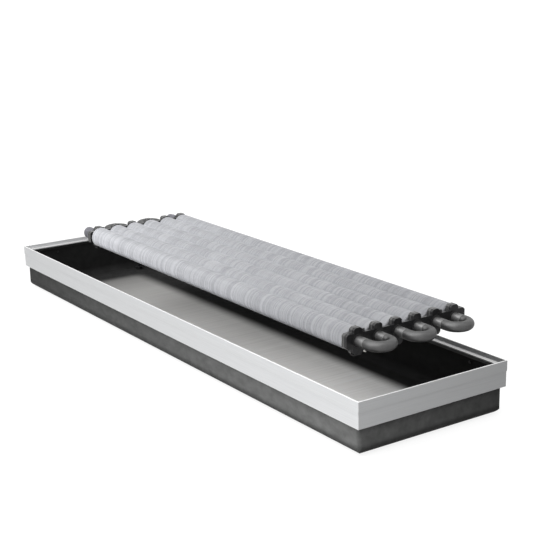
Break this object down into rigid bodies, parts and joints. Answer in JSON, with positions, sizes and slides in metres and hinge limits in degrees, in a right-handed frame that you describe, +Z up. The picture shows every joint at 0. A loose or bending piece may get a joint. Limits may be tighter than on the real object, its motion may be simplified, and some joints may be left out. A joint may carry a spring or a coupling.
{
  "type": "trench convector heater",
  "caption": "Long in-floor trench convector: open drawn trough with a mitred aluminium rim, and a finned-tube heat exchanger lifted straight up above it.",
  "frame": {"origin": "centre of the trough's underside, on the surface that it stands on", "axes": "+X along the length towards the return bends, +Y towards the back long side, +Z up"},
  "size_m": [1.5, 0.38, 0.2226],
  "materials": {
    "black_coating": "satin black powder coat",
    "rim_aluminium": "silver anodised, fine grain along the length",
    "key_metal": "mill finish",
    "dark_screw": "black zinc",
    "black_rubber": "matt",
    "zinc_steel": "bluish zinc plate",
    "tube_steel": "satin grey coat on steel",
    "fin_aluminium": "bright rolled fins",
    "bracket_plastic": "moulded, fine grain",
    "vent_metal": "nickel on brass"
  },
  "bodies": {
    "casing": {"trough": "black_coating", "frame_front": "rim_aluminium", "frame_back": "rim_aluminium", "frame_near_end": "rim_aluminium", "frame_far_end": "rim_aluminium", "frame_corner_keys": "key_metal", "frame_screws": "dark_screw", "pipe_grommets": "black_rubber", "level_nuts": "dark_screw"},
    "level_screw_front_near": {"level_screw_front_near": "zinc_steel"},
    "level_screw_front_far": {"level_screw_front_far": "zinc_steel"},
    "level_screw_back_near": {"level_screw_back_near": "zinc_steel"},
    "level_screw_back_far": {"level_screw_back_far": "zinc_steel"},
    "exchanger": {"core_tube_1": "tube_steel", "core_tube_2": "tube_steel", "core_tube_3": "tube_steel", "core_tube_4": "tube_steel", "core_tube_5": "tube_steel", "core_tube_6": "tube_steel", "fin_pack_1": "fin_aluminium", "fin_pack_2": "fin_aluminium", "fin_pack_3": "fin_aluminium", "fin_pack_4": "fin_aluminium", "fin_pack_5": "fin_aluminium", "fin_pack_6": "fin_aluminium", "return_bend_1_2": "tube_steel", "return_bend_3_4": "tube_steel", "return_bend_5_6": "tube_steel", "return_bend_2_3": "tube_steel", "return_bend_4_5": "tube_steel", "end_bracket_near": "bracket_plastic", "end_bracket_far": "bracket_plastic", "tube_bushes_near": "black_rubber", "tube_bushes_far": "black_rubber", "bracket_bolts": "dark_screw", "foot_pads": "black_rubber", "supply_nipple": "tube_steel", "return_nipple": "tube_steel", "union_gaskets": "black_rubber"},
    "union_nut_supply": {"union_nut_supply": "zinc_steel"},
    "union_nut_return": {"union_nut_return": "zinc_steel"},
    "vent_screw": {"vent_screw": "vent_metal"}
  },
  "joints": [
    {"name": "exchanger_lift", "type": "slide", "parent": "casing", "child": "exchanger", "axis": [0, 0, 1], "range_m": [-0.1646, 0]},
    {"name": "supply_nut_turn", "type": "hinge", "parent": "exchanger", "child": "union_nut_supply", "pos_m": [-0.44, -0.123, 0.1966], "axis": [-1, 0, 0], "continuous": true},
    {"name": "return_nut_turn", "type": "hinge", "parent": "exchanger", "child": "union_nut_return", "pos_m": [-0.44, 0.123, 0.1966], "axis": [-1, 0, 0], "continuous": true},
    {"name": "vent_turn", "type": "hinge", "parent": "exchanger", "child": "vent_screw", "pos_m": [0.694, -0.123, 0.1966], "axis": [0, -0.5299, -0.848], "range_deg": [0, 360]},
    {"name": "level_front_near", "type": "slide", "parent": "casing", "child": "level_screw_front_near", "axis": [0, 0, 1], "range_m": [-0.025, 0]},
    {"name": "level_front_far", "type": "slide", "parent": "casing", "child": "level_screw_front_far", "axis": [0, 0, 1], "range_m": [-0.025, 0]},
    {"name": "level_back_near", "type": "slide", "parent": "casing", "child": "level_screw_back_near", "axis": [0, 0, 1], "range_m": [-0.025, 0]},
    {"name": "level_back_far", "type": "slide", "parent": "casing", "child": "level_screw_back_far", "axis": [0, 0, 1], "range_m": [-0.025, 0]}
  ]
}
